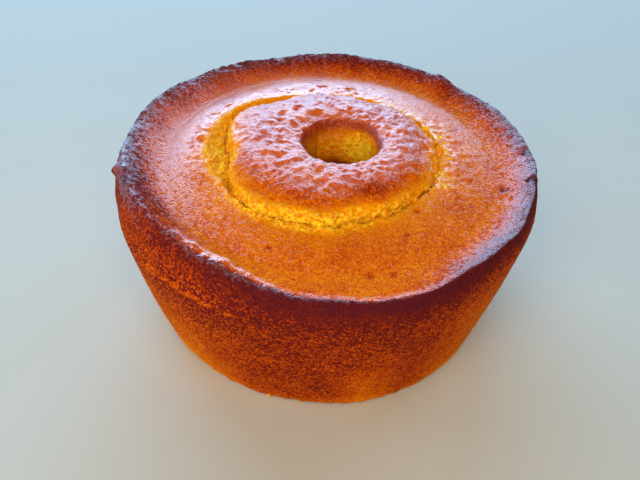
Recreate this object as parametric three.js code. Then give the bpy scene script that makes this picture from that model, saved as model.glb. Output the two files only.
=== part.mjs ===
// Cornmeal ring cake from a plain tube pan, standing as it was baked: narrow base down, rim up.
// Millimetres, +Z up, origin at the middle of the base. The front of the cake faces -Y.
// Angles are in degrees, anticlockwise from +X seen from above, so the front is at 270.
import * as THREE from 'three';

// Base and side wall: the pan's taper, bowed out a little half way up
const BASE_RADIUS = 80.5;
const BASE_EDGE = 3;
const BASE_RAGGED = 0.7;
const SHOULDER_RADIUS = 93.4;
const SHOULDER_HEIGHT = 69;
const WALL_BOW = 1.9;
const WALL_GRAIN = 0.35;
const WALL_GRAIN_SPACING = 14;
const WALL_BULGE = 1.6;
const WALL_BULGE_ANGLE = 200;
const WALL_BULGE_SPREAD = 60;

// Outward lean of the wall for each millimetre of height
const WALL_LEAN = (SHOULDER_RADIUS - BASE_RADIUS) / SHOULDER_HEIGHT;

// Flake of crust that stands out of the left shoulder
const FLAKE_REACH = 1.4;
const FLAKE_ANGLE = 188;
const FLAKE_SPREAD = 9;

// Crust rim that stands above the top, highest at RIM_TILT_ANGLE
const RIM_RADIUS = 90.8;
const RIM_HEIGHT = 81.2;
const RIM_TILT = 1.8;
const RIM_TILT_ANGLE = 185;
const RIM_RAGGED = 1;
const RIM_FULLNESS = 0.55;
const RIM_CREST_WIDTH = 4;
const RIM_FOOT_RADIUS = 75;
const RIM_FOOT_SWEEP = 6;
const TOP_HEIGHT = 74.4;

// Low place of the rim at the front, level with the top, and a crag on the rim at the back
const RIM_SAG_DROP = 6;
const RIM_SAG_BREADTH = 1.45;
const RIM_SAG_ANGLE = 270;
const RIM_SAG_SPREAD = 42;
const RIM_CRAG = 2;
const RIM_CRAG_ANGLE = 49;
const RIM_CRAG_SPREAD = 6;

// Shoulder that slumped on the left of the front, where the crest sits further in and lower
const SLUMP_ANGLE = 213;
const SLUMP_SPREAD = 58;
const SLUMP_DROP = 7;
const SLUMP_FOOT_INSET = 2.7;
const CREST_INSET = 8;
const CREST_INSET_ANGLE = 237;
const CREST_INSET_SPREAD = 62;
const CREST_DROP = 3.6;
const CREST_DROP_ANGLE = 226;
const CREST_DROP_SPREAD = 40;

// Split where the risen middle broke away from the top: a ledge that falls to a cliff on its inner side
const SPLIT_RADIUS = 51.5;
const SPLIT_HEIGHT = 77.2;
const SPLIT_DEPTH = 5.5;
const SPLIT_LEDGE_DEPTH = 1.9;
const SPLIT_GAP = 2.2;
const SPLIT_JAGGED = 0.9;
const SPLIT_BULGE = 6;
const SPLIT_BULGE_ANGLE = 146;
const SPLIT_BULGE_SPREAD = 62;
const SPLIT_WIDE = 9.5;
const SPLIT_WIDE_ANGLE = 179;
const SPLIT_WIDE_SPREAD = 47;
const SPLIT_OPEN = 1.6;
const SPLIT_OPEN_ANGLE = 290;
const SPLIT_OPEN_SPREAD = 40;
const SPLIT_SHALLOW = 3;
const SPLIT_SHALLOW_ANGLE = 8;
const SPLIT_SHALLOW_SPREAD = 48;

// Risen middle: a puffed ring whose edge stands higher at the front than at the back
const MIDDLE_EDGE_HEIGHT = 80;
const MIDDLE_EDGE_TILT = 1.8;
const MIDDLE_EDGE_TILT_ANGLE = 245;
const MIDDLE_HEIGHT = 86.4;
const MIDDLE_EDGE_ROUND = 6;
const MIDDLE_FLANK_ROUND = 0.3;
const MIDDLE_CROWN_WIDTH = 9;
const MIDDLE_PEBBLES = 0.7;
const MIDDLE_PEBBLE_SPACING = 11;

// Hole left by the pan's tube: it leans to the right going up and is narrowest under its lip
const HOLE_LIP_RADIUS = 18.8;
const HOLE_LIP_HEIGHT = 84.6;
const HOLE_NECK_RADIUS = 15.2;
const HOLE_BASE_RADIUS = 21.5;
const HOLE_LEAN_X = 5.6;
const HOLE_LEAN_Y = 0.5;
const HOLE_UNEVEN = 0.5;

// Facets round the cake and along each stretch of the section
const FACETS_ROUND = 96;
const FACETS = {
  edge: 3,
  wall: 9,
  rimOut: 5,
  rimIn: 6,
  top: 6,
  splitSide: 1,
  splitFloor: 1,
  cliff: 3,
  middle: 10,
  hole: 9,
};

// Browned crust
const CRUST_COLOUR = '#b5651d';
const CRUST_ROUGHNESS = 0.6;

const cosDeg = (angle) => Math.cos(THREE.MathUtils.degToRad(angle));
const sinDeg = (angle) => Math.sin(THREE.MathUtils.degToRad(angle));

// 1 at the centre angle, easing to 0 at the spread on both sides
const swell = (angle, centre, spread) => {
  const away = Math.abs(THREE.MathUtils.euclideanModulo(angle - centre + 180, 360) - 180);
  return away < spread ? 0.5 + 0.5 * Math.cos(Math.PI * away / spread) : 0;
};

// Uneven edge round the cake between -1 and 1, from three waves of different counts
const ragged = (angle, phase) => (
  0.45 * sinDeg(5 * angle + phase)
  + 0.35 * sinDeg(11 * angle + 2.7 * phase)
  + 0.2 * sinDeg(23 * angle + 4.1 * phase)
);

// Uneven surface between -1 and 1, from three warped waves that cross at the given spacing
const bumps = (x, y, spacing) => {
  const turn = 360 / spacing;
  const waves = [20, 80, 140].map((heading) => {
    const along = x * cosDeg(heading) + y * sinDeg(heading);
    const across = y * cosDeg(heading) - x * sinDeg(heading);
    return sinDeg(turn * along + 2 * heading + 90 * sinDeg(0.45 * turn * across + heading));
  });
  return (waves[0] + waves[1] + waves[2]) / 3;
};

// A place on the section: radius, height, and how far it follows the leaning hole
const place = (radius, height, lean = 0) => new THREE.Vector3(radius, height, lean);

const straight = (from, to) => new THREE.LineCurve3(from, to);
const bend = (from, control, to) => new THREE.QuadraticBezierCurve3(from, control, to);
const sweep = (from, leave, arrive, to) => new THREE.CubicBezierCurve3(from, leave, arrive, to);

// Named places of the section at one angle
const landmarks = (angle) => {
  const slump = swell(angle, SLUMP_ANGLE, SLUMP_SPREAD);
  const tilt = RIM_TILT * cosDeg(angle - RIM_TILT_ANGLE);
  const sag = Math.min(1, RIM_SAG_BREADTH * swell(angle, RIM_SAG_ANGLE, RIM_SAG_SPREAD));
  const crag = RIM_CRAG * swell(angle, RIM_CRAG_ANGLE, RIM_CRAG_SPREAD);
  const rimRadius = RIM_RADIUS + RIM_RAGGED * ragged(angle, 40)
    - CREST_INSET * swell(angle, CREST_INSET_ANGLE, CREST_INSET_SPREAD);
  const rimHeight = RIM_HEIGHT + tilt + crag - RIM_SAG_DROP * sag
    - CREST_DROP * swell(angle, CREST_DROP_ANGLE, CREST_DROP_SPREAD)
    + RIM_RAGGED * ragged(angle, 75);

  const splitRadius = SPLIT_RADIUS + SPLIT_JAGGED * ragged(angle, 10)
    + SPLIT_BULGE * swell(angle, SPLIT_BULGE_ANGLE, SPLIT_BULGE_SPREAD);
  const gap = SPLIT_GAP
    + SPLIT_WIDE * swell(angle, SPLIT_WIDE_ANGLE, SPLIT_WIDE_SPREAD)
    + SPLIT_OPEN * swell(angle, SPLIT_OPEN_ANGLE, SPLIT_OPEN_SPREAD);
  const middleRadius = splitRadius - gap + SPLIT_JAGGED * ragged(angle, 130);
  const shallow = SPLIT_SHALLOW * swell(angle, SPLIT_SHALLOW_ANGLE, SPLIT_SHALLOW_SPREAD);
  const middleHeight = MIDDLE_EDGE_HEIGHT
    + MIDDLE_EDGE_TILT * cosDeg(angle - MIDDLE_EDGE_TILT_ANGLE);

  const uneven = HOLE_UNEVEN * ragged(angle, 200);
  const bulge = WALL_BULGE * swell(angle, WALL_BULGE_ANGLE, WALL_BULGE_SPREAD);
  const flake = FLAKE_REACH * swell(angle, FLAKE_ANGLE, FLAKE_SPREAD);
  const baseRadius = BASE_RADIUS + bulge + BASE_RAGGED * ragged(angle, 100);
  return {
    underside: place(baseRadius - BASE_EDGE, 0),
    baseCorner: place(baseRadius, 0),
    wallFoot: place(baseRadius + WALL_LEAN * BASE_EDGE, BASE_EDGE),
    shoulder: place(SHOULDER_RADIUS + bulge + flake, SHOULDER_HEIGHT - SLUMP_DROP * slump),
    crest: place(rimRadius, rimHeight),
    rimFoot: place(RIM_FOOT_RADIUS - SLUMP_FOOT_INSET * slump, TOP_HEIGHT),
    splitLip: place(splitRadius, SPLIT_HEIGHT),
    splitFloorOut: place(splitRadius - 0.35 * gap, SPLIT_HEIGHT - SPLIT_LEDGE_DEPTH),
    splitFloorIn: place(splitRadius - 0.75 * gap, SPLIT_HEIGHT - SPLIT_DEPTH + shallow),
    middleEdge: place(middleRadius, middleHeight),
    holeLip: place(HOLE_LIP_RADIUS + uneven, HOLE_LIP_HEIGHT, 1),
    holeNeck: place(HOLE_NECK_RADIUS + uneven, HOLE_LIP_HEIGHT - 1, 1),
    holeWaist: place(HOLE_NECK_RADIUS + uneven, 0.5 * HOLE_LIP_HEIGHT, 0.5),
    holeFoot: place(HOLE_BASE_RADIUS, 0),
  };
};

// Outline of the section at one angle, from the hole's foot round the outside and back to it
const sectionAt = (angle) => {
  const at = landmarks(angle);
  const wallBow = place(
    0.5 * (at.wallFoot.x + at.shoulder.x) + WALL_BOW,
    0.5 * (at.wallFoot.y + at.shoulder.y),
  );
  const rimCorner = place(
    THREE.MathUtils.lerp(at.crest.x, at.shoulder.x, RIM_FULLNESS),
    at.crest.y,
  );
  const crestInside = place(at.crest.x - RIM_CREST_WIDTH, at.crest.y);
  const footOutside = place(at.rimFoot.x + RIM_FOOT_SWEEP, TOP_HEIGHT);
  const topSwell = place(0.5 * (at.rimFoot.x + at.splitLip.x), SPLIT_HEIGHT);
  const middleRise = place(at.middleEdge.x - MIDDLE_EDGE_ROUND, MIDDLE_HEIGHT - 1);
  const middleFlank = at.middleEdge.clone().lerp(middleRise, -MIDDLE_FLANK_ROUND);
  const middleCrown = place(HOLE_LIP_RADIUS + MIDDLE_CROWN_WIDTH, MIDDLE_HEIGHT + 1.5, 0.6);
  const stretches = [
    [bend(at.underside, at.baseCorner, at.wallFoot), FACETS.edge],
    [bend(at.wallFoot, wallBow, at.shoulder), FACETS.wall],
    [bend(at.shoulder, rimCorner, at.crest), FACETS.rimOut],
    [sweep(at.crest, crestInside, footOutside, at.rimFoot), FACETS.rimIn],
    [bend(at.rimFoot, topSwell, at.splitLip), FACETS.top],
    [straight(at.splitLip, at.splitFloorOut), FACETS.splitSide],
    [straight(at.splitFloorOut, at.splitFloorIn), FACETS.splitFloor],
    [bend(at.splitFloorIn, middleFlank, at.middleEdge), FACETS.cliff],
    [sweep(at.middleEdge, middleRise, middleCrown, at.holeLip), FACETS.middle],
    [sweep(at.holeLip, at.holeNeck, at.holeWaist, at.holeFoot), FACETS.hole],
  ];
  const outline = [at.holeFoot, at.underside];
  stretches.forEach(([curve, facets]) => outline.push(...curve.getPoints(facets).slice(1)));
  return outline;
};

// Section place turned to its angle, with the relief of the browned surface added
const surfacePoint = (spot, angle) => {
  const x = spot.x * cosDeg(angle) + HOLE_LEAN_X * spot.z;
  const y = spot.x * sinDeg(angle) + HOLE_LEAN_Y * spot.z;
  const onMiddle = spot.y > MIDDLE_EDGE_HEIGHT - MIDDLE_EDGE_TILT && spot.x < SPLIT_RADIUS;
  const onWall = spot.x > BASE_RADIUS && spot.y > BASE_EDGE && spot.y < SHOULDER_HEIGHT;
  const lift = onMiddle ? MIDDLE_PEBBLES * bumps(x, y, MIDDLE_PEBBLE_SPACING) : 0;
  const swelling = onWall ? WALL_GRAIN * bumps(x + spot.y, y - spot.y, WALL_GRAIN_SPACING) : 0;
  return new THREE.Vector3(
    x + swelling * cosDeg(angle),
    y + swelling * sinDeg(angle),
    spot.y + lift,
  );
};

const makeCakeGeometry = () => {
  const outline = sectionAt(0).map((spot) => new THREE.Vector2(spot.x, spot.y));
  const geometry = new THREE.LatheGeometry(outline, FACETS_ROUND);
  const { position } = geometry.attributes;
  for (let step = 0; step <= FACETS_ROUND; step += 1) {
    const angle = 360 * (step % FACETS_ROUND) / FACETS_ROUND;
    sectionAt(angle).forEach((spot, index) => {
      const { x, y, z } = surfacePoint(spot, angle);
      position.setXYZ(step * outline.length + index, x, y, z);
    });
  }
  geometry.computeVertexNormals();
  return geometry;
};

const crust = new THREE.MeshStandardMaterial({
  color: CRUST_COLOUR,
  roughness: CRUST_ROUGHNESS,
  metalness: 0,
});

const cake = new THREE.Mesh(makeCakeGeometry(), crust);
cake.name = 'cake';

const part = new THREE.Group();
part.add(cake);

export default part;
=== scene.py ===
"""Cornmeal ring cake with its browned crust, torn split, pebbled middle and loose crumbs."""

import math
import random

import bpy
import numpy as np
from bpy.props import FloatProperty, FloatVectorProperty, IntProperty, PointerProperty
from mathutils import Matrix, Vector, noise


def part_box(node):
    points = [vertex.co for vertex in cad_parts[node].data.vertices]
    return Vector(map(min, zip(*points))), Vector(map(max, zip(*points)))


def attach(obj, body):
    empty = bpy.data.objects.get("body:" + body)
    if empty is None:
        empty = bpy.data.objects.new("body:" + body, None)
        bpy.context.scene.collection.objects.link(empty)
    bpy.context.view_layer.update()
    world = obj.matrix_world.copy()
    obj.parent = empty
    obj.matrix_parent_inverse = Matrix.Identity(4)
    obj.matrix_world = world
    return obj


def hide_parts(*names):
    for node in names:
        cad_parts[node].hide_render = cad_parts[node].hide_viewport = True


bl_info = {
    "name": "Cornmeal ring cake",
    "version": (1, 0, 0),
    "blender": (4, 5, 0),
    "location": "View3D > Sidebar > Ring cake",
    "description": "Shapes a browned ring cake, scatters its crumbs and sets a small studio round it",
    "category": "Add Mesh",
}

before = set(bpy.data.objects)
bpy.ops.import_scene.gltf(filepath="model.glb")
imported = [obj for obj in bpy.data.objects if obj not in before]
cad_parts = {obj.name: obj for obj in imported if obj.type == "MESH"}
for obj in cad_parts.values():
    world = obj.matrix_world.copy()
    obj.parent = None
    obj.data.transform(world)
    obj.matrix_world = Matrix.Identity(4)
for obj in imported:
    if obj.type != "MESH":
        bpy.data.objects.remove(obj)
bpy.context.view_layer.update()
CAKE_LOW, CAKE_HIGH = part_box("cake")

MM = 0.001

# The ring is added coarse and cut finer: sections round the cake, and rings along each stretch of a section
COARSE_AROUND = 140
CUTS = 2
AROUND = COARSE_AROUND * (CUTS + 1)
RINGS = {
    "underside": 2, "edge": 4, "wall": 36, "rim_out": 22, "rim_in": 27, "top": 32,
    "split_side": 7, "split_floor": 5, "cliff": 14, "middle": 58, "hole": 21,
}
ANGLES = np.arange(AROUND) * 360.0 / AROUND

# Sizes below are in millimetres and degrees, and the front of the cake is at 270 degrees.
# A swelling is given by how much, where and how wide, and a flat-topped one by how steep as well.
# A ragged edge is given by how far, and where its waves start.
# A torn edge is given by how far, at which radius, in steps of which size, and where in the noise.
# A tilt is given by how far, and where it is highest.

# Waves of a ragged edge: how many round the cake, how far each one's start is turned, and its share
RAGGED_WAVES = ((5, 1.0, 0.45), (11, 2.7, 0.35), (23, 4.1, 0.2))
# Steps of a torn edge: how fast the finer ones fade, how much finer each is, and how many there are
TORN_STEPS = (0.8, 2.1, 3)

# Base and wall
BASE_EDGE = 3.0
BASE_RAGGED = (0.7, 100)
BASE_TORN = (0.5, 80, 4, 6.6)
WALL_BOW = 1.9
WALL_BULGE = (1.6, 200, 60)
FLAKE = (1.4, 188, 9)

# Crust rim
RIM_TILT = (1.8, 185)
RIM_RAGGED_OUT = (1.0, 40)
RIM_RAGGED_UP = (1.0, 75)
RIM_TORN_OUT = (0.15, 90, 6, 3.1)
RIM_TORN_UP = (0.15, 90, 7, 7.7)
RIM_FULLNESS = 0.55
RIM_CREST_WIDTH = 4.0
CREST_WIDE = (3.0, 229, 34)
RIM_FOOT_RADIUS = 75.0
RIM_FOOT_SWEEP = 6.0

# Low place of the rim at the front, level with the top, and a crag on the rim at the back
RIM_SAG = (6.0, 270, 42, 1.45)
RIM_CRAG = (2.0, 49, 6)

# Shoulder that slumped on the left of the front, where the crest sits further in and lower
SLUMP = (213, 58)
SLUMP_DROP = 7.0
SLUMP_FOOT_INSET = 2.7
CREST_INSET = (8.0, 237, 62)
CREST_DROP = (3.6, 226, 40)

# Split round the risen middle
SPLIT_HEIGHT = 77.2
SPLIT_BULGE = (6.0, 146, 62)
SPLIT_GAP = 2.2
SPLIT_GAP_LEAST = 1.2
SPLIT_GAP_TORN = (0.4, 52, 9, 11.2)
SPLIT_WIDE = (9.5, 179, 47)
SPLIT_OPEN = (1.6, 290, 40)
SPLIT_RUBBLE = (3.0, 352, 32)
# Its floor, from a ledge under the lip down to the cliff, at these shares of the gap
SPLIT_LEDGE_DEPTH = 1.9
SPLIT_LEDGE_SHARE = 0.35
SPLIT_LEDGE_TORN = (0.6, 55, 5, 9.1)
SPLIT_FLOOR_SHARE = 0.75
SPLIT_FLOOR_TORN = (0.5, 50, 5, 8.4)
SPLIT_SHALLOW = (4.8, 5, 62)
# Its outer lip and, across the gap, the edge of the middle; where each is frayed
LIP_JAGGED = (0.9, 10)
LIP_TORN = (1.2, 52, 4, 1.3)
LIP_FRAYED = (1.7, 168, 60)
LIP_FRAYS = (1.0, 52, 9, 4.4)
LIP_CLEAR = 0.9
EDGE_JAGGED = (0.9, 130)
EDGE_FRAYED = (1.6, 15, 62)
EDGE_FRAYS = (1.0, 48, 9, 5.5)
EDGE_LOW = (1.2, 5, 50)
# Right of a sharp step at the front the lip sits further in: how much, and from which angle to which
SPLIT_PINCH = 2.0
SPLIT_PINCH_SOFT = (264, 20, 345, 22)
SPLIT_PINCH_SHARP = (276, 1.6, 345, 22)
# The lip curls up from this share of the top, and little where the split is closed
LIP_START = 0.85
LIP_CURL = 0.9
LIP_CURL_MEAN = 0.5
LIP_CURL_TORN = (1.0, 52, 5, 2.2)
LIP_CURL_CLOSED = 0.2
# Cracks at the back, where the middle stands lower than the lip
BACK_CRACK = (2.6, 128, 32)
RIGHT_CRACK = (1.3, 70, 24)
CRACK_LIP_RISE = 0.4

# Risen middle and its hole
MIDDLE_EDGE_HEIGHT = 80.0
MIDDLE_EDGE_TILT = (1.8, 245)
MIDDLE_EDGE_ROUND = 6.0
MIDDLE_RISE_DROP = 1.0
FLANK_ROUND = 0.3
MIDDLE_CROWN_WIDTH = 9.0
MIDDLE_CROWN_RISE = 1.5
MIDDLE_CROWN_LEAN = 0.6
HOLE_LIP_RADIUS = 18.8
HOLE_LIP_HEIGHT = 84.6
HOLE_NECK_DROP = 1.0
HOLE_BASE_RADIUS = 21.5
HOLE_LEAN = (5.6, 0.5)
HOLE_UNEVEN = (0.5, 200)
# Rings crowd towards the hole's lip, where crust turns to crumb
HOLE_CROWDING = 2.2

# Pits in the top and notches in the rim: angle, radius, height, reach and depth
DENTS = (
    (313, 53, 77.2, 1.6, 1.4), (345, 78, 74.8, 2.6, 1.2), (282, 76, 74.5, 1.5, 0.9),
    (288.6, 77.6, 74.7, 1.5, 0.9), (331, 68.7, 75.7, 1.4, 0.7), (1.6, 90.1, 79.6, 2.4, 2.8),
    (348, 89.5, 79.7, 2.4, 2.8), (140, 70, 74.8, 1.6, 0.8), (22, 66, 75.8, 1.5, 0.7),
    (250, 66, 76.0, 1.3, 0.6), (95, 72, 74.7, 1.6, 0.8), (300, 62, 76.4, 1.2, 0.6),
)
# Slit under the flake on the left: dents at about one angle, from the flake down
SLIT = tuple((197.2 + 0.8 * k, 89.2 + 0.2 * k, 81.6 - 0.45 * k, 1.2, 1.6) for k in range(5))
# Tip of the flake, pulled out of the rim
FLAKE_TIP = (191.5, 91.0, 78.2, 4.6, -3.6)
# Crags raised on the crest on the left of the front
CREST_LUMPS = (
    (226, 83.5, 79.2, 5.0, -1.5), (232, 82.2, 78.2, 4.0, -1.0), (242, 81.3, 77.0, 5.0, -1.3),
    (249, 81.6, 76.2, 4.0, -0.8), (218, 85.0, 80.2, 4.0, -0.8),
)
# Outside this radius a dent goes inwards, and down by this share
RIM_EDGE_RADIUS = 85
RIM_DENT_DROP = 0.4

# Pale seam on the left, where the batter rose over the pan's edge: between which angles, and its form
SEAM = (219, 252)
SEAM_HEIGHT = 64.2
SEAM_ARCH = 1.5
SEAM_WIDTH = 1.1
SEAM_RISE = 0.7
# It wavers by so much, so many radians a degree, and fades towards its ends
SEAM_WAVER = 0.3
SEAM_WAVES = 1.9
SEAM_FADE = 3.0
SEAM_INNER_RADIUS = 88

# Patterns of relief: soft clouds, hard creases and rounded cells
CLOUDS = ("SOFT_NOISE", "BLENDER_ORIGINAL")
CREASES = ("HARD_NOISE", "BLENDER_ORIGINAL")
CELLS = ("SOFT_NOISE", "VORONOI_F1")
# Relief of each kind: size and depth in millimetres, octaves and pattern
RELIEF = (
    ("pebbles", 7.0, 1.3, 1, *CLOUDS),
    ("pebbles", 5.6, 1.3, 0, *CELLS),
    ("pebbles", 3.3, 1.0, 0, *CELLS),
    ("pebbles", 2.4, 0.6, 1, *CLOUDS),
    ("wrinkles", 6.0, 1.5, 1, *CLOUDS),
    ("wrinkles", 3.5, 1.5, 0, *CELLS),
    ("crags", 5.0, 1.9, 2, *CREASES),
    ("crags", 2.6, 1.2, 1, *CLOUDS),
    ("grain", 2.4, 0.5, 2, *CLOUDS),
    ("fine", 2.0, 0.2, 2, *CLOUDS),
    ("lumps", 4.5, 3.2, 1, *CLOUDS),
    ("lumps", 2.2, 1.5, 1, *CLOUDS),
)
# Strength of each kind, as values spaced evenly along each stretch
GRAIN = {"edge": (0.6,), "wall": (1.0,), "rim_out": (1.0, 0.6)}
CRAGS = {"rim_out": (0.0, 0.7, 1.0), "rim_in": (1.0, 1.0, 0.4, 0.0)}
FINE = {"rim_in": (0.0, 1.0), "top": (1.0,)}
PEBBLES = {"middle": (0.3, 0.9, 1.0, 1.0, 1.0, 1.0, 0.7), "hole": (0.7, 0.3, 0.0, 0.0, 0.0)}
LUMPS = {
    "top": (0.0,) * 9 + (0.4,), "split_side": (0.4, 1.0), "split_floor": (1.0,), "cliff": (1.0, 0.8),
    "middle": (0.8, 0.1) + (0.0,) * 6, "hole": (0.0, 0.4, 0.8, 0.8, 0.4, 0.0),
}
WRINKLES = {"top": (0.0, 0.0, 0.4, 1.0, 1.0, 0.6)}
# Lumps and wrinkles that spread over the edges of the split on the right
RIGHT_LUMPS = {"top": (0.0,) * 7 + (0.3, 0.7, 0.7), "middle": (0.2, 0.6, 0.3) + (0.0,) * 5}
RIGHT_LUMPY = (354, 42)
RIGHT_WRINKLES = {"middle": (0.7, 0.3) + (0.0,) * 6}
RIGHT_WRINKLED = (5, 58)
# Places near the split where the top is wrinkled, and how steeply that sets in
WRINKLED = ((175, 62), RIGHT_WRINKLED, (95, 60))
WRINKLED_STEEP = 1.4
# Lumps of the split all round, and the places that are full of them
LUMPY = 0.75
LUMPY_PLACES = ((0.25, 165, 62), (0.25, *RIGHT_LUMPY))
# Crags of the crest all round; bold where it glints, and weak at the front and at the back
CREST_GLINT = (241, 21)
CRAGGY = 0.75
CRAGGY_PLACES = ((0.25, *CREST_GLINT), (-0.65, 288, 46), (-0.4, 45, 62))

# Browning with painted shade deep in the hole, bare crumb and sandiness, as values spaced evenly along each
# stretch
BAKE = {
    "underside": (0.6,), "edge": (0.5, 0.4), "wall": (0.48, 0.59, 0.63, 0.64, 0.65, 0.68, 0.75),
    "rim_out": (0.75, 0.91, 0.97, 0.95), "rim_in": (0.88, 0.67, 0.47, 0.36),
    "top": (0.38, 0.37, 0.36, 0.35, 0.33, 0.29, 0.2, 0.04),
    "split_side": (0.04, 0.02), "split_floor": (0.02,), "cliff": (0.02, 0.0),
    "middle": (0.08, 0.3, 0.44, 0.45, 0.42, 0.4, 0.38, 0.42),
    # Deep in the hole the tube's crust is browner, with painted shade where light hardly reaches
    "hole": (0.46, 0.64, 0.58, 0.3, 0.3, 0.95) + (1.0,) * 5,
}
CRUMB = {
    "top": (0.0,) * 6 + (0.04, 0.2, 0.65, 1.0), "split_side": (0.7, 1.0), "split_floor": (1.0,),
    "cliff": (1.0, 1.0, 0.7), "middle": (0.7, 0.15) + (0.0,) * 6,
    "hole": (0.0, 0.0, 0.42, 0.65, 0.65, 0.15) + (0.0,) * 5,
}
SANDY = {
    "underside": (1.3,), "edge": (1.3,), "wall": (1.3,), "rim_out": (1.3, 1.2, 0.95, 0.35),
    "rim_in": (0.35, 0.35, 0.5, 0.5), "top": (0.45,), "split_side": (1.0,), "split_floor": (1.0,),
    "cliff": (1.0, 0.7), "middle": (0.2,), "hole": (0.2, 0.9, 1.0),
}

# Stretches and places that several changes below share
WALL_SIDE = {"edge": (1.0,), "wall": (1.0, 1.0, 0.7), "rim_out": (0.7, 0.0)}
WALL_FOOT = {"edge": (1.0,), "wall": (1.0, 0.8, 0.5, 0.0, 0.0)}
CREST = {"rim_out": (0.0, 0.0, 0.1, 0.5, 1.0), "rim_in": (1.0, 1.0, 1.0, 0.5) + (0.0,) * 5}
RIM_INSIDE = {"rim_in": (0.0, 0.5, 1.0, 1.0, 0.6, 0.2, 0.0)}
FLAT_TOP = {"rim_in": (0.0, 0.0, 1.0), "top": (1.0,)}
LEFT_CREST = (214, 21)
LEFT_INSIDE = (203, 36)

# Changes of the browning, and of painted light and sheen on the left: strength along the stretches, and how
# much, where and how wide
BAKE_AND_PAINTED_LIGHT_CHANGES = (
    # Paler wall on the left: partly paler crust, partly painted light falling from the left
    (WALL_SIDE, (-0.25, 208, 48)),
    # Golden places at the foot of the wall
    (WALL_FOOT, (-0.22, 283, 13)),
    (WALL_FOOT, (-0.17, 229, 30)),
    # Outside of the rim on the left painted paler, as painted sheen
    ({"rim_out": (0.0, 1.0, 1.0, 0.3)}, (-0.17, 226, 62)),
    # Browned band under the rim at the front
    ({"wall": (0.0,) * 9 + (0.7,), "rim_out": (0.7, 1.0, 0.4, 0.0)}, (0.12, 295, 62)),
    # Inside of the rim at the back, browned above and paler at its foot
    ({"rim_in": (0.4, 1.0, -0.3, -1.2)}, (0.07, 90, 80)),
    # Inside of the rim on the left, browned
    (RIM_INSIDE, (0.16, *LEFT_INSIDE)),
    # Crest on the left, painted paler where it is dull, as painted sheen
    (CREST, (-0.15, *LEFT_CREST)),
)
# Paler wall on the right: how much, and from which angle to which
RIGHT_PALE = 0.31
RIGHT_PALE_REACH = (291, 26, 359, 30)

# Changes of the sandiness before the front of the rim is set
TOP_DULL_CHANGES = (
    # The top is dull at the front and shines at the back
    (FLAT_TOP, (0.52, 285, 95)),
    (FLAT_TOP, (-0.48, 120, 118)),
    # The flank of the middle is dull at the front and on the right
    ({"cliff": (1.0,), "middle": (1.0, 0.95, 0.6, 0.3, 0.12) + (0.0,) * 3}, (0.9, 272, 106, 2.0)),
    # Inside of the rim at the back, dull
    ({"rim_in": (0.1, 1.0, 1.0, 0.8), "top": (0.8,) + (0.0,) * 6}, (0.52, 64, 72)),
)
# Front of the rim, as dull and orange as the top: where, and between which shares it eases in
FRONT_RIM = (262, 54, 2.0)
FRONT_RIM_BAKE = 0.34
FRONT_RIM_INSIDE = ("rim_in", -0.3, 0.15)
FRONT_RIM_OUTSIDE = ("rim_out", 0.88, 1.0)
FRONT_RIM_SHARE = 0.5
FRONT_RIM_SANDY = ("rim_in", 0.08, 0.3)
# Changes of the sandiness after that
DULL_CHANGES = (
    # Grittier wall on the left, and crust under the rim there that shines a little
    ({"edge": (1.0,), "wall": (1.0,), "rim_out": (1.0, 1.0, 0.5, 0.0)}, (0.3, 212, 50)),
    ({"rim_out": (0.0, 1.0, 0.3)}, (-0.95, 198, 40)),
    # Top beside the split on the left, dull
    ({"top": (0.0, 0.0, 0.3, 0.7, 1.0, 1.0)}, (0.28, 203, 34)),
    # Crest on the left, dull, and its crags that glint nearer the front
    (CREST, (0.45, *LEFT_CREST)),
    ({"rim_out": (0.0, 0.0, 0.0, 0.1, 0.6), "rim_in": CREST["rim_in"]}, (-1.0, *CREST_GLINT)),
    # Inside of the rim on the left, dull
    (RIM_INSIDE, (0.3, *LEFT_INSIDE)),
)

# Where the split is torn open to the crumb, and how little of it shows elsewhere
LEFT_TEAR = (165, 75, 1.6)
FRONT_TEAR = (270, 98, 1.6)
CLOSED_TEAR = 0.45
TORN_STRETCHES = dict.fromkeys(("top", "split_side", "cliff", "middle"), (1.0,))
# Lighter crumb in the split at the front, and deeper crumb on the left of it
FRONT_LIGHT = (0.2, 262, 60)
LEFT_DEEP = (0.22, 155, 72)
# Lip of the split that is crust to its edge, on the right of the front
CRUSTED_LIP = (0.65, 312, 38)
# Lighter crumb in the hole on the right
HOLE_CRUMB = {"hole": (0.0, 0.0, 0.2, 1.0, 1.0, 0.0) + (0.0,) * 5}
HOLE_LIGHT = (0.9, 42, 55)
# Patches of crumb on the right of the split, their size, and the shine of the crust between them
PATCHY_STRETCHES = {
    "top": (0.0,) * 7 + (0.6, 1.0, 1.0), "split_side": (1.0,), "split_floor": (1.0,), "cliff": (1.0,),
    "middle": (0.8, 0.3) + (0.0,) * 6,
}
PATCHY_CRUMB = (1.6, 4, 62)
PATCHY_CRUMB_SIZE = 3.2
PATCHY_SHINE = 1.6

# Browned patch on the front of the middle: its place and reach, and how much browner and duller it is
PATCH_PLACE = (18.0, -35.0)
PATCH_REACH = 9.5
PATCH_BROWN = 0.11
PATCH_DULL = 0.5
# Dents get painted shade, a little past their reach, and the seam and the flake's tip are paler
DENT_SHADE = 0.3
DENT_SHADE_REACH = 1.5
SEAM_PALE = 0.35
FLAKE_TIP_PALE = 0.55

# Share of a plain gloss that each crust keeps; the sandy one is too open to shine
SKIN_GLOSS = 0.46
SANDY_GLOSS = 0.03
# Dullness that makes crust sandy, and specks of the frayed border in millimetres, with its breadth
DULL_FROM = 0.6
FRAY_SIZE = 1.3
FRAY_BREADTH = 0.7
# Stretch of the rim where that border is narrow
EVEN_FRAY_RIM = {"rim_out": (0.7,), "rim_in": (0.7, 0.0)}
EVEN_FRAY = (335, 115)

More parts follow.
